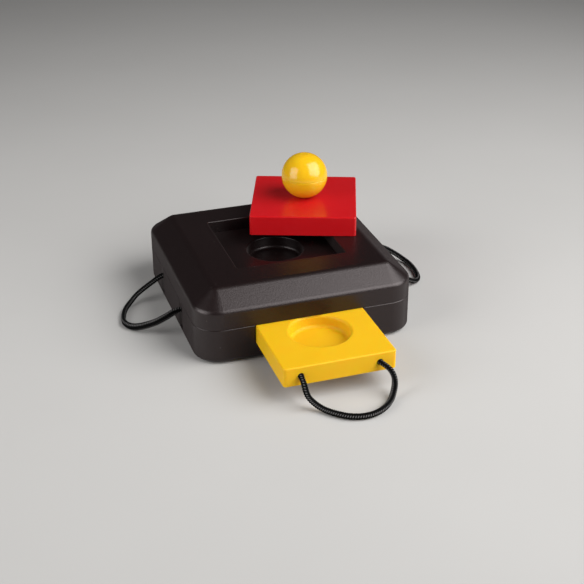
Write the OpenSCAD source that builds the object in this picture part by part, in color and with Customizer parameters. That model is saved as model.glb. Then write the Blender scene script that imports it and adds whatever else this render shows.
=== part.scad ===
// Dog puzzle toy: a square bevelled case with a treat cup in its top recess, a loose lid
// with a ball to lift it by, a drawer with a treat cup pulled out on a cord loop,
// and one cord loop in each side wall.
// Millimetres. Origin on the floor under the middle of the case, drawer towards -Y, up is +Z.

/* [Case] */
// outside width and depth of the square case
case_w = 180; // [172:2:188]
// height of the flat top above the floor
case_h = 58; // [56:1:62]
// width and depth of the flat top
top_w = 143.5; // [138:0.5:147]
// height where the upright wall turns into the slope
slope_z = 45; // [43:1:47]
// wall thickness of both shells
wall = 2.5; // [2:0.1:3]
// rounding between wall and slope
wall_edge_r = 4.5; // [3:0.5:7]
// rounding between slope and flat top
top_edge_r = 8; // [3:0.5:9]
// rounding of the bottom edge
bottom_edge_r = 3.5; // [2:0.5:4]

/* [Recess and cup] */
// side of the square recess
recess_w = 91.5; // [88:0.5:94]
// depth of the recess
recess_d = 10.5; // [8:0.5:12]
// radius of the cup in the recess floor
cup_r = 23.5; // [20:0.5:25]
// depth of the cup below the recess floor
cup_d = 11; // [8:0.5:11]
// rounding of the cup's rim
cup_rim_r = 1.2; // [0.6:0.2:2]

/* [Drawer] */
// width of the drawer
drawer_w = 88.5; // [85:0.5:90]
// length of the drawer from front to back
drawer_l = 92; // [86:0.5:94]
// height of the drawer
drawer_h = 15.5; // [14:0.1:16]
// how far it stands out of the front wall
drawer_out = 68.5; // [60:0.5:70]
// radius of its treat cup
drawer_cup_r = 23.5; // [20:0.5:26]
// depth of its treat cup
drawer_cup_d = 10.5; // [8:0.5:11]
// rounding of that cup's rim
drawer_rim_r = 2.4; // [1.6:0.2:2.8]
// rounding of the drawer's edges
drawer_edge_r = 1.2; // [0.6:0.2:1.6]

/* [Lid and ball] */
// height of the lid block
lid_h = 17; // [15:0.5:19]
// where the lid lies on the flat top, to the right
lid_x = 38; // [34:0.5:42]
// where the lid lies on the flat top, to the back
lid_y = 35.5; // [32:0.5:40]
// how far the lying lid is turned
lid_turn = -20.7; // [-30:0.1:0]
// rounding of the lid's edges
lid_edge_r = 0.9; // [0.5:0.1:1.3]
// diameter of the ball
ball_d = 39; // [36:0.5:43]

/* [Cords] */
// diameter of the braided cord
cord_d = 4.5; // [4:0.1:4.7]
// how far each side loop's ends stand from the middle
side_hole_y = 32; // [31:0.5:33]
// how far each end of the drawer loop stands from the middle
drawer_hole_x = 31; // [30:0.5:32]

/* [Fits] */
// gap between drawer and guides at each side
slide_gap = 0.5; // [0.3:0.1:0.8]
// gap over and under the drawer
rise_gap = 0.3; // [0.2:0.1:0.5]
// gap between lid and recess wall at each side
lid_gap = 1.5; // [1:0.1:2]
// gap between the lip of the lower shell and the wall of the upper
lip_gap = 0.15; // [0.1:0.05:0.3]
// gap around a cord in its hole
cord_gap = 0.3; // [0.2:0.05:0.5]
// gap around a screw in its hole
screw_gap = 0.05; // [0.03:0.01:0.1]

/* [Hidden] */
$fn = 96;
slope_run = (case_w - top_w) / 2;
turn_a = atan2(slope_run, case_h - slope_z);
turn_b = 90 - turn_a;
slope_base_r = ceil(10 * max(top_edge_r, wall) * tan(turn_b / 2) + 1) / 10;
case_r = slope_base_r + slope_run;
mid = case_w / 2 - case_r;
foot_h = 1.2;
floor_t = 2.5;
split_z = 30;
seam_up = 0.15;
seam_low = 0.6;
lap = 0.05;
lip_root = 5;
lip_h = 2.5;
lip_t = 1.2;
recess_z = case_h - recess_d;
recess_r = 1.5;
recess_rim_r = 0.9;
cup_z = recess_z - cup_d;
cup_t = 2.2;
cup_foot_r = 3;
screw_d = 3;
screw_seat_z = 20;
screw_l = 22;
screw_head_d = 6;
screw_head_h = 2.2;
screw_play = 0.3;
post_r = 4.5;
post_edge = 0.5;
screw_in_y = 40;
screw_x = top_w / 2 - post_r - post_edge;
screw_y = case_w / 2 - screw_in_y;
foot_edge = 21;
foot_at = case_w / 2 - foot_edge;
foot_r = 7;
foot_in = 1.3;
front_y = -case_w / 2;
drawer_z = split_z - rise_gap - drawer_h;
drawer_t = 2.2;
drawer_r = 2 * drawer_edge_r + 0.2;
drawer_y = front_y - drawer_out;
drawer_mid_y = drawer_y + drawer_l / 2;
drawer_top = drawer_z + drawer_h;
stop_y = front_y + drawer_l + 0.3;
rail_t = 2;
stop_h = 8;
slot_x = drawer_w / 2 + slide_gap;
pad_t = 1.3;
pad_w = 14;
rib_t = 1.6;
hold_x = 36;
rib_z = split_z + 0.35;
cord_z = 21.5;
drawer_cord_z = 22;
flute_w = 8.4;
flute_in = 1.2;
flute_z = 6;
flute_r = (flute_w * flute_w / 4 + flute_in * flute_in) / (2 * flute_in);
side_t = 1.5;
side_in = case_w / 2 - wall - side_t;
knot_r = 4.6;
knot_l = 7.5;
tail_l = 6;
lid_w = recess_w - 2 * lid_gap;
lid_t = 2.5;
lid_rib_up = 5;
lid_r = 2 * lid_edge_r + 0.2;
lid_z = case_h + 0.1;
lid_top = lid_z + lid_h;
boss_l = 6;
ball_r = ball_d / 2;
ball_t = 2.2;
ball_sink = 0.3;
ball_z = lid_top + ball_r - ball_sink;
ball_post_r = 4.5;
ball_screw_head_d = 6.5;
ball_screw_in = 11;
boss_r = 5;

// route of each side loop: out from the wall, to the back, up from the floor
left_pts = [[-4, side_hole_y, 21.5], [-1.5, 32, 21.5], [1.5, 32, 20.9], [4, 32, 19.7], [9, 32.3, 16.4],
    [14, 32.8, 13], [18.5, 33, 9.9], [22.5, 32.7, 7.1], [26.5, 31, 4.4], [29.5, 28.2, 2.9],
    [33, 23.5, 2.3], [37.2, 15, 2.3], [40.2, 5, 2.3], [41.2, -3.2, 2.3], [39.8, -10, 2.3],
    [36.8, -14.6, 2.3], [33, -18.2, 3.3], [28.5, -22.6, 5.9], [24.4, -26, 8.4], [20, -28.8, 11],
    [16, -30.7, 13.6], [11.8, -31.8, 16.1], [7.5, -32, 18.4], [4.2, -32, 20], [1.5, -32, 21.1],
    [-1, -32, 21.5], [-4, -side_hole_y, 21.5]];
right_pts = [[-4, side_hole_y, 21.5], [-1, 32, 21.5], [2.5, 32.2, 21.3], [6, 32.9, 20.7],
    [12, 34.3, 19], [19, 36.2, 15.9], [26.2, 37.2, 12], [32.5, 36.6, 7.8], [37, 34.2, 4.8],
    [40.2, 29.7, 2.8], [41.8, 23, 2.3], [42.2, 11.5, 2.3], [41, 1, 2.3], [38.9, -6.5, 2.3],
    [35.6, -11.7, 2.4], [31.2, -14.8, 3.7], [25.9, -17, 6.6], [19.5, -20.6, 10.6], [13, -25.6, 15],
    [9, -28.8, 17.8], [5.6, -30.8, 19.9], [2.3, -31.8, 21.1], [-1, -32, 21.5], [-4, -side_hole_y, 21.5]];
// route of the drawer loop: to the right, out from the drawer front, up from the floor
drawer_pts = [[-drawer_hole_x, -3.5, 22], [-31, -0.5, 22], [-31, 4, 20.8], [-30.9, 7.6, 18.1],
    [-30.4, 10, 14.1], [-28.9, 11.2, 10], [-26.5, 12.6, 6.8], [-22.8, 15.8, 3.8], [-18, 21.4, 2.3],
    [-11.5, 28.6, 2.3], [-5, 33.4, 2.3], [3, 36.1, 2.3], [12, 35.8, 2.3], [20.3, 32.3, 2.3],
    [28.8, 25.1, 2.3], [34.8, 17.2, 3.8], [37.7, 13.2, 8.9], [37.6, 11.4, 14.7], [35.6, 8.2, 19.4],
    [33.3, 4.9, 21.3], [31.4, 0.9, 22], [31, -1.8, 22], [drawer_hole_x, -3.5, 22]];
left_route = [for (p = left_pts) [-case_w / 2 - p[0], p[1], p[2]]];
right_route = [for (p = right_pts) [case_w / 2 + p[0], p[1], p[2]]];
drawer_route = [for (p = drawer_pts) [p[0], drawer_y - p[1], p[2]]];

function unit(v) = v / norm(v);
function heading(r, i) = i == 0 ? unit(r[1] - r[0])
    : i == len(r) - 1 ? unit(r[i] - r[i - 1])
    : unit(unit(r[i + 1] - r[i]) + unit(r[i] - r[i - 1]));
function level(d) = unit(cross(d, [0, 0, 1]));
function ring(r, i, rad, n) = let (d = heading(r, i), s = level(d), u = cross(s, d))
    [for (k = [0 : n - 1]) r[i] + rad * (cos(360 * k / n) * s + sin(360 * k / n) * u)];

// a round cord swept along its route
module cord_tube(r, rad, n = 10) {
    m = len(r);
    pts = [for (i = [0 : m - 1]) for (q = ring(r, i, rad, n)) q];
    sides = [for (i = [0 : m - 2]) for (k = [0 : n - 1]) let (a = i * n + k, b = i * n + (k + 1) % n)
        each [[a, a + n, b], [b, a + n, b + n]]];
    ends = [[for (k = [0 : n - 1]) k], [for (k = [n - 1 : -1 : 0]) (m - 1) * n + k]];
    polyhedron(points = pts, faces = concat(sides, ends));
}

// a section carried round a rectangle with rounded corners, mx and my from middle to corner axis
module swept(mx, my) {
    for (sx = [0, 1]) for (sy = [0, 1]) mirror([sx, 0, 0]) mirror([0, sy, 0]) translate([mx, my, 0]) {
        rotate_extrude(angle = 90) children();
        rotate([90, 0, 0]) linear_extrude(my) children();
        translate([-mx, 0, 0]) rotate([90, 0, 90]) linear_extrude(mx) children();
    }
}

// the middle of a plate or block inside such a section
module core(mx, my, z, h) {
    translate([-mx - lap, -my - lap, z]) cube([2 * (mx + lap), 2 * (my + lap), h]);
}

// section of a block with a rounded upper edge, from the corner axis outwards
module block_section(r, z0, z1, e, low) {
    polygon([[0, z0], [r - low, z0], [r, z0 + low], [r, z1 - e], [r - e, z1], [0, z1]]);
    translate([r - e, z1 - e]) circle(e, $fn = 48);
}

// section of a hollow whose mouth at z1 is rounded over
module mouth_section(r, z0, z1, e, foot) {
    difference() {
        union() {
            polygon([[0, z0], [r - foot, z0], [r, z0 + foot], [r, z1 + 1], [0, z1 + 1]]);
            translate([r - 0.01, z1 - e]) square([e + 0.01, e + 1]);
        }
        translate([r + e, z1 - e]) circle(e, $fn = 48);
    }
    if (foot > 0) translate([r - foot, z0 + foot]) circle(foot, $fn = 48);
}

// outline of the upper shell's section with its two rounded edges
module upper_outline() {
    ta = wall_edge_r * tan(turn_a / 2);
    tb = top_edge_r * tan(turn_b / 2);
    s = [-sin(turn_a), cos(turn_a)];
    low = [case_r, slope_z];
    high = [slope_base_r, case_h];
    polygon([[0, split_z], [case_r - seam_up, split_z], [case_r, split_z + seam_up], low - [0, ta],
        low + ta * s, high - tb * s, high - [tb, 0], [0, case_h]]);
    translate([case_r - wall_edge_r, slope_z - ta]) circle(wall_edge_r, $fn = 64);
    intersection() {
        translate([slope_base_r - tb, case_h - top_edge_r]) circle(top_edge_r, $fn = 64);
        translate([0, split_z]) square([case_r, case_h]);
    }
}

module upper_section() {
    difference() {
        upper_outline();
        polygon([[0, split_z - 1], [case_r - wall, split_z - 1],
            [case_r - wall, slope_z - wall * tan(turn_a / 2)],
            [slope_base_r - wall * tan(turn_b / 2), case_h - wall], [0, case_h - wall]]);
    }
}

module lower_section() {
    b = bottom_edge_r;
    in_z = foot_h + floor_t;
    difference() {
        union() {
            polygon([[0, foot_h], [case_r - b, foot_h], [case_r, foot_h + b],
                [case_r, split_z - seam_low], [case_r - seam_low, split_z], [0, split_z]]);
            translate([case_r - b, foot_h + b]) circle(b, $fn = 64);
        }
        polygon([[0, in_z], [case_r - wall - 1.5, in_z], [case_r - wall, in_z + 1.5],
            [case_r - wall, split_z + 1], [0, split_z + 1]]);
    }
    lip = case_r - wall - lip_gap;
    polygon([[case_r - wall, split_z - lip_root], [case_r - wall + 0.2, split_z - lip_root],
        [case_r - wall + 0.2, split_z], [lip, split_z], [lip, split_z + lip_h - 0.5],
        [lip - 0.5, split_z + lip_h], [lip - lip_t, split_z + lip_h],
        [lip - lip_t, split_z - lip_root + lip_t]]);
}

module at_screws() {
    for (x = [-1, 1]) for (y = [-1, 1]) translate([x * screw_x, y * screw_y, 0]) children();
}

module lower_shell() {
    color("#1d1a1a") difference() {
        union() {
            swept(mid, mid) lower_section();
            core(mid, mid, foot_h, floor_t);
            at_screws() translate([0, 0, foot_h]) cylinder(r = post_r, h = split_z - foot_h);
            for (s = [0, 1]) mirror([s, 0, 0]) drawer_rail();
            translate([-slot_x - rail_t, stop_y, foot_h + 1])
                cube([2 * (slot_x + rail_t), rail_t, drawer_z + stop_h]);
            for (x = [0, 1]) for (y = [-1, 1]) mirror([x, 0, 0])
                translate([side_in, y * side_hole_y - pad_w / 2, foot_h + 1])
                    cube([side_t + 0.5, pad_w, split_z - foot_h - 1.4]);
            for (x = [-1, 1]) for (y = [-1, 1]) translate([x * foot_at, y * foot_at, foot_h + 1])
                cylinder(r = foot_r + 1.5, h = floor_t);
        }
        translate([-slot_x, front_y - 1, drawer_z - rise_gap])
            cube([2 * slot_x, wall + 3, split_z]);
        at_screws() translate([0, 0, foot_h - 1])
            cylinder(d = screw_d + screw_play, h = split_z);
        at_screws() translate([0, 0, foot_h - 1])
            cylinder(d = screw_head_d + 2 * screw_play, h = screw_seat_z - foot_h + 1);
        for (x = [-1, 1]) for (y = [-1, 1]) translate([x * foot_at, y * foot_at, foot_h - 1])
            cylinder(r = foot_r + 0.1, h = foot_in + 1);
        for (x = [-1, 1]) for (y = [-1, 1]) {
            translate([x * (case_w / 2 + flute_r - flute_in), y * side_hole_y, flute_z])
                cylinder(r = flute_r, h = split_z);
            translate([x * case_w / 2, y * side_hole_y, cord_z]) rotate([0, 90, 0])
                cylinder(d = cord_d + 2 * cord_gap, h = 4 * (wall + side_t), center = true);
        }
    }
}

// the rib that guides one side of the drawer, with the ledge the drawer runs on
module drawer_rail() {
    translate([0, stop_y + rail_t, 0]) rotate([90, 0, 0])
        linear_extrude(stop_y + rail_t - front_y - wall + 0.5)
            polygon([[slot_x - 3.2, foot_h + 1], [slot_x + rail_t, foot_h + 1],
                [slot_x + rail_t, split_z - 0.5], [slot_x, split_z - 0.5],
                [slot_x, drawer_z - rise_gap], [slot_x - 3.2, drawer_z - rise_gap]]);
}

module upper_shell() {
    color("#221f1f") difference() {
        union() {
            swept(mid, mid) upper_section();
            core(mid, mid, case_h - wall, wall);
            translate([-recess_w / 2 - wall, -recess_w / 2 - wall, recess_z - wall])
                cube([recess_w + 2 * wall, recess_w + 2 * wall, recess_d + wall - 1]);
            translate([0, 0, cup_z - cup_t]) cylinder(r = cup_r + cup_t, h = cup_d + cup_t - 1);
            at_screws() translate([0, 0, split_z]) cylinder(r = post_r, h = case_h - split_z - 1);
            for (x = [-1, 1]) translate([x * hold_x - rib_t / 2, 0, 0]) hold_down();
        }
        recess_hollow();
        rotate_extrude() mouth_section(cup_r, cup_z, recess_z, cup_rim_r, cup_foot_r);
        at_screws() translate([0, 0, split_z - 1])
            cylinder(d = screw_d + 2 * screw_gap, h = screw_seat_z + screw_l + 2 - split_z);
    }
}

// a rib over the drawer's tail that keeps the drawn drawer from tipping, rooted half into the walls
module hold_down() {
    h = wall / 2;
    rotate([90, 0, 90]) linear_extrude(rib_t)
        polygon([[front_y + h, rib_z], [stop_y, rib_z], [stop_y, recess_z - h],
            [-recess_w / 2 - h, recess_z - h], [-recess_w / 2 - h, case_h - h],
            [h * tan(turn_b / 2) - top_w / 2, case_h - h], [front_y + h, slope_z - h * tan(turn_a / 2)]]);
}

module recess_hollow() {
    m = recess_w / 2 - recess_r;
    swept(m, m) mouth_section(recess_r, recess_z, case_h, recess_rim_r, 0);
    core(m, m, recess_z, recess_d + 1);
}

module cross_recess(w, h) {
    for (a = [0, 90]) rotate(a) translate([-w / 2, -0.5, -0.1]) cube([w, 1, h + 0.1]);
}

// a pan-head screw standing head down, its seat at z = 0
module pan_screw(len, head_d, head_h) {
    difference() {
        union() {
            cylinder(d = screw_d - 0.1, h = len - 2, $fn = 48);
            translate([0, 0, len - 2]) cylinder(d1 = screw_d - 0.1, d2 = 1, h = 2, $fn = 48);
            rotate_extrude($fn = 64) polygon([[0, 0], [head_d / 2, 0], [head_d / 2, -0.6 * head_h],
                [head_d / 2 - 0.5, -0.9 * head_h], [head_d / 2 - 1, -head_h], [0, -head_h]]);
        }
        translate([0, 0, -head_h]) cross_recess(0.6 * head_d, 0.6 * head_h);
    }
}

module case_screws() {
    color("#b9bcc0") at_screws() translate([0, 0, screw_seat_z])
        pan_screw(screw_l, screw_head_d, screw_head_h);
}

module foot(x, y) {
    color("#2b2b2b") translate([x * foot_at, y * foot_at, 0]) rotate_extrude($fn = 64)
        polygon([[0, 0], [foot_r - 0.7, 0], [foot_r, 0.7], [foot_r, foot_h + foot_in],
            [0, foot_h + foot_in]]);
}

module foot_front_left() {
    foot(-1, -1);
}

module foot_front_right() {
    foot(1, -1);
}

module foot_rear_left() {
    foot(-1, 1);
}

module foot_rear_right() {
    foot(1, 1);
}

// a stopper knot on its cord end, its flat face at z = 0 and its tail upwards
module knot() {
    color("#151515") rotate_extrude($fn = 48) {
        intersection() {
            translate([0, knot_l / 2 - 0.4]) circle(knot_r);
            square([knot_r + 1, knot_l]);
        }
        square([cord_d / 2, knot_l + tail_l]);
    }
}

module side_knot(x, y) {
    translate([x * side_in, y * side_hole_y, cord_z]) rotate([0, -90 * x, 0]) knot();
}

module left_front_knot() {
    side_knot(-1, -1);
}

module left_rear_knot() {
    side_knot(-1, 1);
}

module right_front_knot() {
    side_knot(1, -1);
}

module right_rear_knot() {
    side_knot(1, 1);
}

module left_cord() {
    color("#101010") cord_tube(left_route, cord_d / 2);
}

module right_cord() {
    color("#101010") cord_tube(right_route, cord_d / 2);
}

module drawer() {
    mx = drawer_w / 2 - drawer_r;
    my = drawer_l / 2 - drawer_r;
    in_x = drawer_w - 2 * drawer_t;
    in_y = drawer_l - 2 * drawer_t;
    cup_floor = drawer_top - drawer_cup_d;
    color("#f2b40f") translate([0, drawer_mid_y, 0]) difference() {
        union() {
            difference() {
                union() {
                    swept(mx, my) block_section(drawer_r, drawer_z, drawer_top, drawer_edge_r, 0.4);
                    core(mx, my, drawer_z, drawer_h);
                }
                translate([-in_x / 2, -in_y / 2, drawer_z - 1])
                    cube([in_x, in_y, drawer_h + 1 - drawer_t]);
            }
            translate([0, 0, cup_floor - 2])
                cylinder(r = drawer_cup_r + drawer_t, h = drawer_cup_d + 1);
            for (a = [0 : 90 : 270]) rotate(a) translate([drawer_cup_r + 1, -rib_t / 2, drawer_z + 2.5])
                cube([(a % 180 == 0 ? drawer_w : drawer_l) / 2 - drawer_cup_r - 2, rib_t, drawer_h - 3.5]);
            for (x = [-1, 1])
                translate([x * drawer_hole_x - pad_w / 2, drawer_t - 0.5 - drawer_l / 2, drawer_z + 1.5])
                    cube([pad_w, pad_t + 0.5, drawer_h - 3]);
        }
        rotate_extrude() mouth_section(drawer_cup_r, cup_floor, drawer_top, drawer_rim_r, cup_foot_r);
        for (x = [-1, 1]) translate([x * drawer_hole_x, -drawer_l / 2, drawer_cord_z])
            rotate([90, 0, 0])
                cylinder(d = cord_d + 2 * cord_gap, h = 4 * drawer_t + 4, center = true);
    }
}

module drawer_knot(x) {
    translate([x * drawer_hole_x, drawer_y + drawer_t + pad_t, drawer_cord_z])
        rotate([-90, 0, 0]) knot();
}

module drawer_left_knot() {
    drawer_knot(-1);
}

module drawer_right_knot() {
    drawer_knot(1);
}

module drawer_cord() {
    color("#101010") cord_tube(drawer_route, cord_d / 2);
}

module at_lid() {
    translate([lid_x, lid_y, 0]) rotate(lid_turn) children();
}

module lid_block() {
    m = lid_w / 2 - lid_r;
    in_w = lid_w - 2 * lid_t;
    color("#c31418") at_lid() difference() {
        union() {
            difference() {
                union() {
                    swept(m, m) block_section(lid_r, lid_z, lid_top, lid_edge_r, 0.4);
                    core(m, m, lid_z, lid_h);
                }
                translate([-in_w / 2, -in_w / 2, lid_z - 1]) cube([in_w, in_w, lid_h + 1 - lid_t]);
            }
            translate([0, 0, lid_top - lid_t - boss_l]) cylinder(r = boss_r, h = boss_l + 1);
            for (a = [0 : 90 : 270]) rotate(a) translate([boss_r - 2, -rib_t / 2, lid_z + lid_rib_up])
                cube([lid_w / 2 - boss_r + 1, rib_t, lid_h - lid_rib_up - 1]);
        }
        translate([0, 0, lid_z - 1])
            cylinder(d = ball_screw_head_d + 2 * screw_play, h = lid_h + 1 - lid_t - boss_l);
        translate([0, 0, lid_z]) cylinder(d = screw_d + screw_play, h = lid_h + 1);
    }
}

// section of one half of the hollow ball, its seam at y = 0
module ball_half_section() {
    difference() {
        circle(ball_r, $fn = 128);
        circle(ball_r - ball_t, $fn = 128);
        translate([-ball_r - 1, 0]) square([2 * ball_r + 2, ball_r + 1]);
        translate([-ball_r - 1, -ball_r - 1]) square([ball_r + 1, ball_r + 2]);
        translate([0, -ball_r - 1]) square([ball_r, 1 + ball_sink]);
        polygon([[ball_r - 0.3, 0], [ball_r + 1, 1], [ball_r + 1, -1.3]]);
    }
}

module ball_lower_half() {
    color("#f2b40f") at_lid() translate([0, 0, ball_z]) difference() {
        rotate_extrude($fn = 128) {
            ball_half_section();
            translate([0, -ball_r + ball_sink]) square([ball_post_r, ball_r - 4]);
        }
        translate([0, 0, -ball_r - 1]) cylinder(d = screw_d + 2 * screw_gap, h = ball_screw_in + 3);
    }
}

module ball_upper_half() {
    in_r = ball_r - ball_t - lip_gap;
    color("#f2b40f") at_lid() translate([0, 0, ball_z]) rotate_extrude($fn = 128) {
        mirror([0, 1]) ball_half_section();
        polygon([[in_r - 1.4, -2], [in_r - 0.4, -2], [in_r - 0.2, -1.5], [in_r, 0],
            [ball_r - 1, 0], [ball_r - 1, 0.5], [in_r - 1.4, 2.5]]);
    }
}

module ball_screw() {
    color("#b9bcc0") at_lid() translate([0, 0, lid_top - lid_t - boss_l])
        pan_screw(boss_l + lid_t + ball_screw_in, ball_screw_head_d, screw_head_h);
}

lower_shell();
upper_shell();
case_screws();
foot_front_left();
foot_front_right();
foot_rear_left();
foot_rear_right();
left_cord();
left_front_knot();
left_rear_knot();
right_cord();
right_front_knot();
right_rear_knot();
drawer();
drawer_cord();
drawer_left_knot();
drawer_right_knot();
lid_block();
ball_lower_half();
ball_upper_half();
ball_screw();
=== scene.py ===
import math

import bpy
import numpy as np
from mathutils import Euler, Matrix, Vector


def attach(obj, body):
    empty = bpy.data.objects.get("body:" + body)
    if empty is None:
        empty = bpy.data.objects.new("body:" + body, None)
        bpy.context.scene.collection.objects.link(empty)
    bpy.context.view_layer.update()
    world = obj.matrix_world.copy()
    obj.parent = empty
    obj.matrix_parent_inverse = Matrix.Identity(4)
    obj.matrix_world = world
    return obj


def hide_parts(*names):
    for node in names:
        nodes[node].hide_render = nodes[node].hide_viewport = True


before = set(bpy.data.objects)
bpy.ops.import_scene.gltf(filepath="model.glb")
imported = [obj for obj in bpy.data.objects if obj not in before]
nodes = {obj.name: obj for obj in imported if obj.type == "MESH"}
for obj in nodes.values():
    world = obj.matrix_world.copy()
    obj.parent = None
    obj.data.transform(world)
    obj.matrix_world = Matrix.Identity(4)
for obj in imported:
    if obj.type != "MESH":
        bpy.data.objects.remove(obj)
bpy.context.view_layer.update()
bpy.ops.object.select_all(action="DESELECT")


# The case: two hollow shells of black ABS, moulded with a fine eroded grain on the outside.
# They close on a lip at the parting line, and four screws from below hold them together.
# The grain breaks up what is seen along a wall, so a wall at a slant looks more matte.
case_black = (0.0064, 0.0028, 0.0027), (0.0082, 0.0038, 0.0037)
dust_grey = 0.10, 0.088, 0.08
tone_scale, speck_scale, grain_scale = 750, 220, 800
case_rough_low, case_rough_high, slant_rough = 0.31, 0.39, 0.42
case_shine, case_shine_tint = 0.53, (1, 0.91, 0.91, 1)
case_grain_depth = 0.0002

# The Mix node's colour sockets go by number, because its sockets share their names.
first_tone, second_tone, mixed_tone = 6, 7, 2


def new_finish(name):
    finish = bpy.data.materials.new(name)
    finish.use_nodes = True
    tree_nodes = finish.node_tree.nodes
    return finish, tree_nodes, finish.node_tree.links, tree_nodes["Principled BSDF"].inputs


def own_place(tree_nodes):
    return tree_nodes.new("ShaderNodeTexCoord").outputs["Object"]


def add_noise(tree_nodes, links, place, scale, detail, rough=0.5):
    noise = tree_nodes.new("ShaderNodeTexNoise")
    noise.inputs["Scale"].default_value = scale
    noise.inputs["Detail"].default_value = detail
    noise.inputs["Roughness"].default_value = rough
    links.new(place, noise.inputs["Vector"])
    return noise.outputs["Fac"]


def spread(tree_nodes, links, fac, from_low, from_high, to_low, to_high):
    step = tree_nodes.new("ShaderNodeMapRange")
    step.inputs["From Min"].default_value = from_low
    step.inputs["From Max"].default_value = from_high
    step.inputs["To Min"].default_value = to_low
    step.inputs["To Max"].default_value = to_high
    links.new(fac, step.inputs["Value"])
    return step.outputs["Result"]


def two_tones(tree_nodes, links, fac, first, second):
    tones = tree_nodes.new("ShaderNodeMix")
    tones.data_type = "RGBA"
    tones.inputs[first_tone].default_value = (*first, 1)
    tones.inputs[second_tone].default_value = (*second, 1)
    links.new(fac, tones.inputs["Factor"])
    return tones


def combine(tree_nodes, links, operation, one, other):
    both = tree_nodes.new("ShaderNodeMath")
    both.operation = operation
    links.new(one, both.inputs[0])
    links.new(other, both.inputs[1])
    return both.outputs[0]


def raise_grain(tree_nodes, links, shader, height, strength, depth):
    bump = tree_nodes.new("ShaderNodeBump")
    bump.inputs["Strength"].default_value = strength
    bump.inputs["Distance"].default_value = depth
    links.new(height, bump.inputs["Height"])
    links.new(bump.outputs["Normal"], shader["Normal"])


def wear_finish(node, finish):
    nodes[node].data.materials.clear()
    nodes[node].data.materials.append(finish)


def case_plastic(name, dark, light):
    finish, tree_nodes, links, shader = new_finish(name)
    place = own_place(tree_nodes)
    fine = add_noise(tree_nodes, links, place, tone_scale, 3, 0.6)
    base = two_tones(tree_nodes, links, spread(tree_nodes, links, fine, 0.35, 0.65, 0, 1), dark, light)
    specks = tree_nodes.new("ShaderNodeTexVoronoi")
    specks.inputs["Scale"].default_value = speck_scale
    links.new(place, specks.inputs["Vector"])
    near = spread(tree_nodes, links, specks.outputs["Distance"], 0.05, 0.11, 1, 0)
    picked = tree_nodes.new("ShaderNodeSeparateColor")
    links.new(specks.outputs["Color"], picked.inputs["Color"])
    rare = spread(tree_nodes, links, picked.outputs["Red"], 0.8, 0.95, 0, 0.8)
    dust = combine(tree_nodes, links, "MULTIPLY", near, rare)
    dusty = two_tones(tree_nodes, links, dust, dark, dust_grey)
    links.new(base.outputs[mixed_tone], dusty.inputs[first_tone])
    links.new(dusty.outputs[mixed_tone], shader["Base Color"])
    gloss = spread(tree_nodes, links, fine, 0.3, 0.7, case_rough_low, case_rough_high)
    slant = tree_nodes.new("ShaderNodeLayerWeight")
    matte = spread(tree_nodes, links, slant.outputs["Facing"], 0.55, 0.8, 0, slant_rough)
    links.new(combine(tree_nodes, links, "ADD", gloss, matte), shader["Roughness"])
    shader["Specular IOR Level"].default_value = case_shine
    shader["Specular Tint"].default_value = case_shine_tint
    grain = add_noise(tree_nodes, links, place, grain_scale, 3, 0.7)
    raise_grain(tree_nodes, links, shader, grain, 0.5, case_grain_depth)
    return finish


wear_finish("upper_shell", case_plastic("upper_case_plastic", *case_black))
wear_finish("lower_shell", case_plastic("lower_case_plastic", *case_black))


# The screws: pan-head self-tapping screws of zinc-plated steel, driven up into the shells' posts
# and through the lid into the ball.
zinc_dark, zinc_light = (0.42, 0.42, 0.40), (0.62, 0.61, 0.58)
screw_steel, tree_nodes, links, shader = new_finish("plated_steel")
shader["Metallic"].default_value = 1
spots = add_noise(tree_nodes, links, own_place(tree_nodes), 900, 4)
tones = two_tones(tree_nodes, links, spots, zinc_dark, zinc_light)
links.new(tones.outputs[mixed_tone], shader["Base Color"])
links.new(spread(tree_nodes, links, spots, 0.3, 0.7, 0.25, 0.45), shader["Roughness"])
wear_finish("case_screws", screw_steel)
wear_finish("ball_screw", screw_steel)


# The feet: discs of black rubber, punched from sheet with a fine, dull grain
# and glued into pockets under the case.
rubber_dark, rubber_light = (0.014, 0.014, 0.014), (0.03, 0.029, 0.028)
foot_rubber, tree_nodes, links, shader = new_finish("foot_rubber")
shader["Specular IOR Level"].default_value = 0.35
rubber_grain = add_noise(tree_nodes, links, own_place(tree_nodes), 1100, 3)
tones = two_tones(tree_nodes, links, rubber_grain, rubber_dark, rubber_light)
links.new(tones.outputs[mixed_tone], shader["Base Color"])
links.new(spread(tree_nodes, links, rubber_grain, 0.3, 0.7, 0.7, 0.9), shader["Roughness"])
raise_grain(tree_nodes, links, shader, rubber_grain, 0.4, 0.0001)
for foot in ("foot_front_left", "foot_front_right", "foot_rear_left", "foot_rear_right"):
    wear_finish(foot, foot_rubber)


# The drawer: one moulding of yellow ABS, hollow below, with a round cup sunk in its top.
# It runs on ledges in the lower shell, and light sinks a little way into it.
yellow = (0.75, 0.43, 0.008), (0.77, 0.445, 0.010), (1.0, 0.3, 0.05)
light_sinks = 0.0025
scuff_turn, scuff_scale = (0, 0, 0.6), (40, 900, 200)


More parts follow.
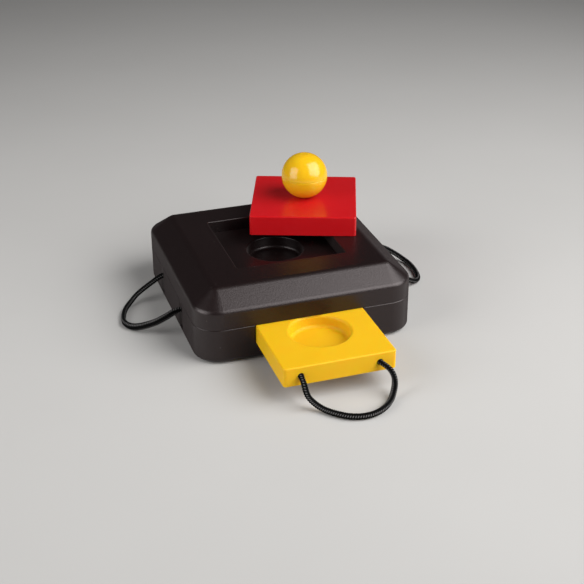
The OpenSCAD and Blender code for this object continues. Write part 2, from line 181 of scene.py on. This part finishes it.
def coloured_plastic(name, dark, light, deep, depth, rough, shine):
    finish, tree_nodes, links, shader = new_finish(name)
    place = own_place(tree_nodes)
    shader["Subsurface Weight"].default_value = depth
    shader["Subsurface Radius"].default_value = deep
    shader["Subsurface Scale"].default_value = light_sinks
    shader["Specular IOR Level"].default_value = shine
    flow = add_noise(tree_nodes, links, place, 22, 3)
    tones = two_tones(tree_nodes, links, spread(tree_nodes, links, flow, 0.35, 0.65, 0, 1), dark, light)
    links.new(tones.outputs[mixed_tone], shader["Base Color"])
    turned = tree_nodes.new("ShaderNodeMapping")
    turned.inputs["Rotation"].default_value = scuff_turn
    turned.inputs["Scale"].default_value = scuff_scale
    links.new(place, turned.inputs["Vector"])
    streaks = add_noise(tree_nodes, links, turned.outputs["Vector"], 1, 2)
    scuffs = spread(tree_nodes, links, streaks, 0.64, 0.76, 0, 0.02)
    cloudy = add_noise(tree_nodes, links, place, 160, 4)
    even = spread(tree_nodes, links, cloudy, 0.3, 0.7, rough - 0.015, rough + 0.015)
    links.new(combine(tree_nodes, links, "ADD", scuffs, even), shader["Roughness"])
    ripple = add_noise(tree_nodes, links, place, 300, 2)
    raise_grain(tree_nodes, links, shader, ripple, 0.1, 0.00002)
    return finish


drawer_plastic = coloured_plastic("drawer_yellow_plastic", *yellow, depth=0.55, rough=0.48, shine=0.2)
wear_finish("drawer", drawer_plastic)


# The lid: a hollow block of glossy red ABS, moulded in one piece.
# It drops into the recess, and here it lies turned on the flat top.
red = (0.51, 0.0070, 0.0105), (0.55, 0.0085, 0.012), (1.0, 0.12, 0.1)
lid_plastic = coloured_plastic("lid_red_plastic", *red, depth=0.3, rough=0.22, shine=0.42)
wear_finish("lid_block", lid_plastic)


# The ball: two half shells of the drawer's yellow plastic, polished, snapped together
# at the equator and screwed to the lid from below.
ball_plastic = coloured_plastic("ball_yellow_plastic", *yellow, depth=0.2, rough=0.16, shine=0.46)
wear_finish("ball_lower_half", ball_plastic)
wear_finish("ball_upper_half", ball_plastic)


# The pull loops: soft black polyester cord, 4.5 mm thick, plaited from eight flat yarns round a core
# and squeezed a little out of round where it has been bent. Each end goes through a hole and
# a stopper knot holds it there.
cord_thick = 0.0045
cord_lay = 0.0070
yarns_each_way = 4
yarn_middle, yarn_wave = 0.00158, 0.00033
yarn_half_wide, yarn_half_thin = 0.00060, 0.00033
core_sides, core_share = 10, 0.85
core_uv = 0.25
cord_shine = 0.15
# The crest colour is a painted highlight in place of the shine of the polyester yarns, and the shade colour
# is painted shade, near black, between them.
yarn_painted_shade, yarn_painted_highlight = (0.0006, 0.0006, 0.0006), (0.20, 0.192, 0.19)
fibre_scale = 0.7, 22, 1


def run_along(line):
    return np.concatenate([[0], np.cumsum(np.linalg.norm(np.diff(line, axis=0), axis=1))])


def follow(at, run, rows):
    return np.stack([np.interp(at, run, rows[:, k]) for k in range(3)], axis=1)


def unit(rows):
    return rows / np.linalg.norm(rows, axis=1)[:, None]


def smooth_line(points, step):
    p = np.array(points, float)
    h = np.linalg.norm(np.diff(p, axis=0), axis=1)
    t = np.concatenate([[0], np.cumsum(h)])
    last = len(t) - 1
    system, right = np.eye(last + 1), np.zeros((last + 1, 3))
    for i in range(1, last):
        system[i, i - 1:i + 2] = h[i - 1], 2 * (h[i - 1] + h[i]), h[i]
        right[i] = 6 * ((p[i + 1] - p[i]) / h[i] - (p[i] - p[i - 1]) / h[i - 1])
    bend = np.linalg.solve(system, right)
    u = np.linspace(0, t[-1], 3000)
    i = np.clip(np.searchsorted(t, u, side="right") - 1, 0, last - 1)
    a, b, w = (t[i + 1] - u)[:, None], (u - t[i])[:, None], h[i][:, None]
    line = (bend[i] * a ** 3 + bend[i + 1] * b ** 3) / (6 * w) \
        + (p[i] / w - bend[i] * w / 6) * a + (p[i + 1] / w - bend[i + 1] * w / 6) * b
    line[:, 2] = np.maximum(line[:, 2], cord_thick / 2)
    run = run_along(line)
    even = np.linspace(0, run[-1], max(2, round(run[-1] / step) + 1))
    return follow(even, run, line)


def carried_sides(ahead):
    side = np.cross(ahead[0], (0, 0, 1) if abs(ahead[0][2]) < 0.8 else (1, 0, 0))
    carried = []
    for way in ahead:
        side = side - way * np.dot(side, way)
        side = side / np.linalg.norm(side)
        carried.append(side)
    return np.array(carried)


def tube_faces(start, rings, sides):
    ring, corner = np.meshgrid(np.arange(rings - 1), np.arange(sides), indexing="ij")
    a, b = start + ring * sides + corner, start + ring * sides + (corner + 1) % sides
    return ring, corner, np.stack([a, b, b + sides, a + sides], axis=-1).reshape(-1, 4)


def tube_ends(start, rings, sides):
    last = start + (rings - 1) * sides
    return [[start + k for k in reversed(range(sides))], [last + k for k in range(sides)]]


def plait(name, line, thick, sides, per_cross, squeezed=((0, 1, 1), (1, 1, 1))):
    run = run_along(line)
    ahead = unit(np.gradient(line, axis=0))
    sides_at = carried_sides(ahead)
    grow = thick / cord_thick
    middle, wave, lay = yarn_middle * grow, yarn_wave * grow, cord_lay * grow
    half_wide, half_thin = yarn_half_wide * grow, yarn_half_thin * grow
    count = int(run[-1] / lay * 2 * yarns_each_way * per_cross)
    s = np.linspace(0, run[-1], count)
    centre, way, first = follow(s, run, line), follow(s, run, ahead), follow(s, run, sides_at)
    second = np.cross(way, first)

    # How far the cord is squeezed at each step, level and upright, and the two ways it bulges.
    place, level, upright = np.array(squeezed, float).T
    level, upright = np.interp(s / run[-1], place, level), np.interp(s / run[-1], place, upright)
    beside = np.cross(way, (0, 0, 1))
    beside /= np.maximum(np.linalg.norm(beside, axis=1), 1e-6)[:, None]
    above = np.cross(beside, way)
    centre[:, 2] += (upright - 1) * thick / 2
    yarn_wide = half_wide * (level + upright) / 2

    # The yarns, four wound each way, which pass over two and under two.
    corners = 2 * math.pi * np.arange(sides) / sides
    points, faces, flat, relief = [], [], [], []
    for turn in (1, -1):
        for yarn in range(yarns_each_way):
            angle = 2 * math.pi * (yarn / yarns_each_way + turn * s / lay)
            cross = 2 * yarn + turn * 2 * yarns_each_way * s / lay
            lift = turn * wave * np.cos(math.pi / 2 * (cross - 0.5))
            out = first * np.cos(angle)[:, None] + second * np.sin(angle)[:, None]
            bulge = out + beside * ((out * beside).sum(axis=1) * (level - 1))[:, None] \
                + above * ((out * above).sum(axis=1) * (upright - 1))[:, None]
            spot = centre + bulge * (middle + lift)[:, None]
            along = unit(np.gradient(spot, axis=0))
            across = unit(np.cross(along, out))
            up = np.cross(across, along)
            wide = (yarn_wide[:, None] * np.cos(corners)[None, :])[:, :, None]
            thin = (half_thin * np.sin(corners))[None, :, None]
            ring, corner, quads = tube_faces(len(points) * count * sides, count, sides)
            faces.append(quads)
            points.append((spot[:, None] + across[:, None] * wide + up[:, None] * thin).reshape(-1, 3))
            high = lift[:, None] + half_thin * np.sin(corners)[None, :]
            relief.append(np.clip((high / (wave + half_thin) + 0.2) / 1.2, 0, 1).ravel())
            u = np.stack([s[ring], s[ring], s[ring + 1], s[ring + 1]], axis=-1) * 1000 + 3.7 * yarn
            v = np.stack([corner, corner + 1, corner + 1, corner], axis=-1) / sides
            flat.append(np.stack([u, v], axis=-1).reshape(-1, 2))

    # The core, a plain round tube, and the closed ends.
    core = np.linspace(0, len(line) - 1, max(8, len(line) // 2)).astype(int)
    base = sum(len(p) for p in points)
    corners = 2 * math.pi * np.arange(core_sides) / core_sides
    hub = line[core][:, None] + core_share * middle * (
        sides_at[core][:, None] * np.cos(corners)[None, :, None]
        + np.cross(ahead, sides_at)[core][:, None] * np.sin(corners)[None, :, None])
    points.append(hub.reshape(-1, 3))
    relief.append(np.zeros(len(core) * core_sides))
    faces.append(tube_faces(base, len(core), core_sides)[2])
    flat.append(np.full((len(faces[-1]) * 4, 2), core_uv))
    ends = tube_ends(base, len(core), core_sides)
    for n in range(2 * yarns_each_way):
        ends += tube_ends(n * count * sides, count, sides)
    flat.append(np.full((sum(len(end) for end in ends), 2), core_uv))

    quads = np.concatenate(faces).tolist()
    mesh = bpy.data.meshes.new(name)
    mesh.from_pydata(np.concatenate(points).tolist(), [], quads + ends)
    layer = mesh.uv_layers.new(name="yarn")
    layer.data.foreach_set("uv", np.concatenate(flat).astype(np.float32).ravel())
    raised = mesh.attributes.new("relief", "FLOAT", "POINT")
    raised.data.foreach_set("value", np.concatenate(relief).astype(np.float32))
    mesh.polygons.foreach_set("use_smooth", [True] * len(quads) + [False] * len(ends))
    mesh.update()
    piece = bpy.data.objects.new(name, mesh)
    bpy.context.scene.collection.objects.link(piece)
    return piece


# The yarn's colour is painted light: the crests of the floats get a pale grey as a painted highlight, and
# everything lower stays near black as painted shade between the yarns.
cord_yarn, tree_nodes, links, shader = new_finish("cord_yarn")
shader["Specular IOR Level"].default_value = cord_shine
uv = tree_nodes.new("ShaderNodeUVMap")
uv.uv_map = "yarn"
stretched = tree_nodes.new("ShaderNodeMapping")
stretched.inputs["Scale"].default_value = fibre_scale
links.new(uv.outputs["UV"], stretched.inputs["Vector"])
fibres = add_noise(tree_nodes, links, stretched.outputs["Vector"], 1, 3)
raised = tree_nodes.new("ShaderNodeAttribute")
raised.attribute_name = "relief"
crests = spread(tree_nodes, links, raised.outputs["Fac"], 0.84, 0.99, 0, 1)
strands = spread(tree_nodes, links, fibres, 0.3, 0.7, 0.6, 1)
crest_painted_highlight = combine(tree_nodes, links, "MULTIPLY", crests, strands)
tones = two_tones(tree_nodes, links, crest_painted_highlight, yarn_painted_shade, yarn_painted_highlight)
links.new(tones.outputs[mixed_tone], shader["Base Color"])
links.new(spread(tree_nodes, links, crest_painted_highlight, 0.1, 0.7, 1, 0.3), shader["Roughness"])
raise_grain(tree_nodes, links, shader, fibres, 0.5, 0.00008)


def fit_cord(piece, node, body):
    piece.data.materials.append(cord_yarn)
    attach(piece, body)
    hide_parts(node)


def stopper_knot(name, at, way, node, body):
    turns, wide, steps = 1.7, 0.0029, 20
    wound_from, wound_high = 0.0017, 0.0042
    line = [(0, 0, 0), (0, 0, 0.0006)]
    for n in range(steps + 1):
        angle = 2 * math.pi * turns * n / steps
        line.append((wide * math.cos(angle), wide * math.sin(angle), wound_from + wound_high * n / steps))
    line += [(0.0004, 0, 0.0068), (0, 0, 0.009), (0, 0, 0.0134)]
    turn = Vector((0, 0, 1)).rotation_difference(Vector(way)).to_matrix()
    placed = [Vector(at) + turn @ Vector(p) for p in line]
    piece = plait(name, smooth_line(placed, step=0.0004), thick=0.0031, sides=6, per_cross=4)
    fit_cord(piece, node, body)
    return piece


def pull_loop(name, route, node, body, squeezed, knots):
    line = smooth_line([[0.001 * c for c in p] for p in route], step=0.0005)
    piece = plait(name, line, cord_thick, sides=8, per_cross=5, squeezed=squeezed)
    fit_cord(piece, node, body)


# The routes are in millimetres: how far out from the wall, how far back, and how high.
# A squeeze is the share of the length, then the width and the height there as shares of the cord's.
left_route = [(-90 - out, back, up) for out, back, up in (
    (-4, 32, 21.5), (-1.5, 32, 21.5), (1.5, 32, 20.9), (4, 32, 19.7), (9, 32.3, 16.4), (14, 32.8, 13),
    (18.5, 33, 9.9), (22.5, 32.7, 7.1), (26.5, 31, 4.4), (29.5, 28.2, 2.9), (33, 23.5, 2.3),
    (37.2, 15, 2.3), (40.2, 5, 2.3), (41.2, -3.2, 2.3), (39.8, -10, 2.3), (36.8, -14.6, 2.3),
    (33, -18.2, 3.3), (28.5, -22.6, 5.9), (24.4, -26, 8.4), (20, -28.8, 11), (16, -30.7, 13.6),
    (11.8, -31.8, 16.1), (7.5, -32, 18.4), (4.2, -32, 20), (1.5, -32, 21.1), (-1, -32, 21.5),
    (-4, -32, 21.5))]
left_squeeze = (
    (0, 1, 1), (0.1, 1, 1), (0.2, 1.02, 0.95), (0.5, 1, 1), (0.64, 1, 1.5), (0.92, 1, 1.55),
    (0.97, 1, 1.1), (1, 1, 1))
pull_loop("left_loop", left_route, "left_cord", "housing", left_squeeze, [
    stopper_knot("left_front_stopper", (-0.086, -0.032, 0.0215), (1, 0, 0), "left_front_knot", "housing"),
    stopper_knot("left_rear_stopper", (-0.086, 0.032, 0.0215), (1, 0, 0), "left_rear_knot", "housing")])

right_route = [(90 + out, back, up) for out, back, up in (
    (-4, 32, 21.5), (-1, 32, 21.5), (2.5, 32.2, 21.3), (6, 32.9, 20.7), (12, 34.3, 19), (19, 36.2, 15.9),
    (26.2, 37.2, 12), (32.5, 36.6, 7.8), (37, 34.2, 4.8), (40.2, 29.7, 2.8), (41.8, 23, 2.3),
    (42.2, 11.5, 2.3), (41, 1, 2.3), (38.9, -6.5, 2.3), (35.6, -11.7, 2.4), (31.2, -14.8, 3.7),
    (25.9, -17, 6.6), (19.5, -20.6, 10.6), (13, -25.6, 15), (9, -28.8, 17.8), (5.6, -30.8, 19.9),
    (2.3, -31.8, 21.1), (-1, -32, 21.5), (-4, -32, 21.5))]
right_squeeze = (
    (0, 1, 1), (0.1, 1, 1), (0.25, 1, 1.08), (0.8, 1, 1.08), (0.92, 1, 1), (1, 1, 1))
pull_loop("right_loop", right_route, "right_cord", "housing", right_squeeze, [
    stopper_knot("right_front_stopper", (0.086, -0.032, 0.0215), (-1, 0, 0), "right_front_knot", "housing"),
    stopper_knot("right_rear_stopper", (0.086, 0.032, 0.0215), (-1, 0, 0), "right_rear_knot", "housing")])

drawer_route = [(right, -158.5 - out, up) for right, out, up in (
    (-31, -3.5, 22), (-31, -0.5, 22), (-31, 4, 20.8), (-30.9, 7.6, 18.1), (-30.4, 10, 14.1),
    (-28.9, 11.2, 10), (-26.5, 12.6, 6.8), (-22.8, 15.8, 3.8), (-18, 21.4, 2.3), (-11.5, 28.6, 2.3),
    (-5, 33.4, 2.3), (3, 36.1, 2.3), (12, 35.8, 2.3), (20.3, 32.3, 2.3), (28.8, 25.1, 2.3),
    (34.8, 17.2, 3.8), (37.7, 13.2, 8.9), (37.6, 11.4, 14.7), (35.6, 8.2, 19.4), (33.3, 4.9, 21.3),
    (31.4, 0.9, 22), (31, -1.8, 22), (31, -3.5, 22))]
drawer_squeeze = (
    (0, 1, 1), (0.06, 1, 1), (0.14, 1.12, 1.05), (0.35, 1.08, 1.15), (0.62, 1.1, 1.12), (0.75, 1.26, 1),
    (0.88, 1.15, 1), (0.95, 1, 1), (1, 1, 1))
pull_loop("drawer_loop", drawer_route, "drawer_cord", "drawer", drawer_squeeze, [
    stopper_knot("drawer_left_stopper", (-0.031, -0.155, 0.022), (0, 1, 0), "drawer_left_knot", "drawer"),
    stopper_knot("drawer_right_stopper", (0.031, -0.155, 0.022), (0, 1, 0), "drawer_right_knot", "drawer")])


# The studio: a pale floor, a tall soft box to the right that leans over the object,
# a dimmer one to the left, and the camera where it stood for the picture.
floor_size, floor_drop = 12, 0.0003
floor_dark, floor_light = (0.50, 0.49, 0.475), (0.53, 0.52, 0.505)
bpy.ops.mesh.primitive_plane_add(size=floor_size, location=(0, 0, -floor_drop))
floor = bpy.context.object
floor.name = "studio_floor"
pale, tree_nodes, links, shader = new_finish("pale_floor")
clouds = add_noise(tree_nodes, links, own_place(tree_nodes), 6, 3)
tones = two_tones(tree_nodes, links, clouds, floor_dark, floor_light)
links.new(tones.outputs[mixed_tone], shader["Base Color"])
shader["Roughness"].default_value = 0.7
shader["Specular IOR Level"].default_value = 0.2
floor.data.materials.append(pale)

box_distance, box_spread = 1.2, 110
lit_middle = Vector((0.02, 0, 0.06))


def soft_box(name, toward, wide, high, lean, glow):
    at = lit_middle + Vector(toward).normalized() * box_distance
    bpy.ops.object.light_add(type="AREA", location=at)
    box = bpy.context.object
    box.name = name
    facing = (lit_middle - at).to_track_quat("-Z", "Y").to_matrix()
    box.rotation_euler = (facing @ Matrix.Rotation(math.radians(lean), 3, "Z")).to_euler()
    box.data.shape = "RECTANGLE"
    box.data.size, box.data.size_y = wide, high
    box.data.energy = glow * math.pi * wide * high
    box.data.spread = math.radians(box_spread)
    box.visible_camera = False


soft_box("right_box", (0.603, -0.505, 0.617), wide=1.29, high=1.51, lean=-32, glow=2.35)
soft_box("left_box", (-0.92, -0.135, 0.36), wide=0.9, high=1.1, lean=15, glow=1.55)
world = bpy.data.worlds.new("studio")
world.use_nodes = True
world.node_tree.nodes["Background"].inputs["Color"].default_value = (0.04, 0.04, 0.042, 1)
bpy.context.scene.world = world
bpy.context.scene.view_settings.view_transform = "Standard"

camera_dip, camera_turn, camera_roll = 27.99, -18.29, -0.23
bpy.ops.object.camera_add(location=(-0.2692, -0.8591, 0.4845))
camera = bpy.context.object
camera.name = "picture_camera"
tilt = Euler((math.radians(90 - camera_dip), 0, math.radians(camera_turn))).to_matrix()
camera.rotation_euler = (tilt @ Matrix.Rotation(math.radians(camera_roll), 3, "Z")).to_euler()
camera.data.sensor_width = 36
camera.data.lens = 73.853
camera.data.clip_start = 0.01
bpy.context.scene.camera = camera
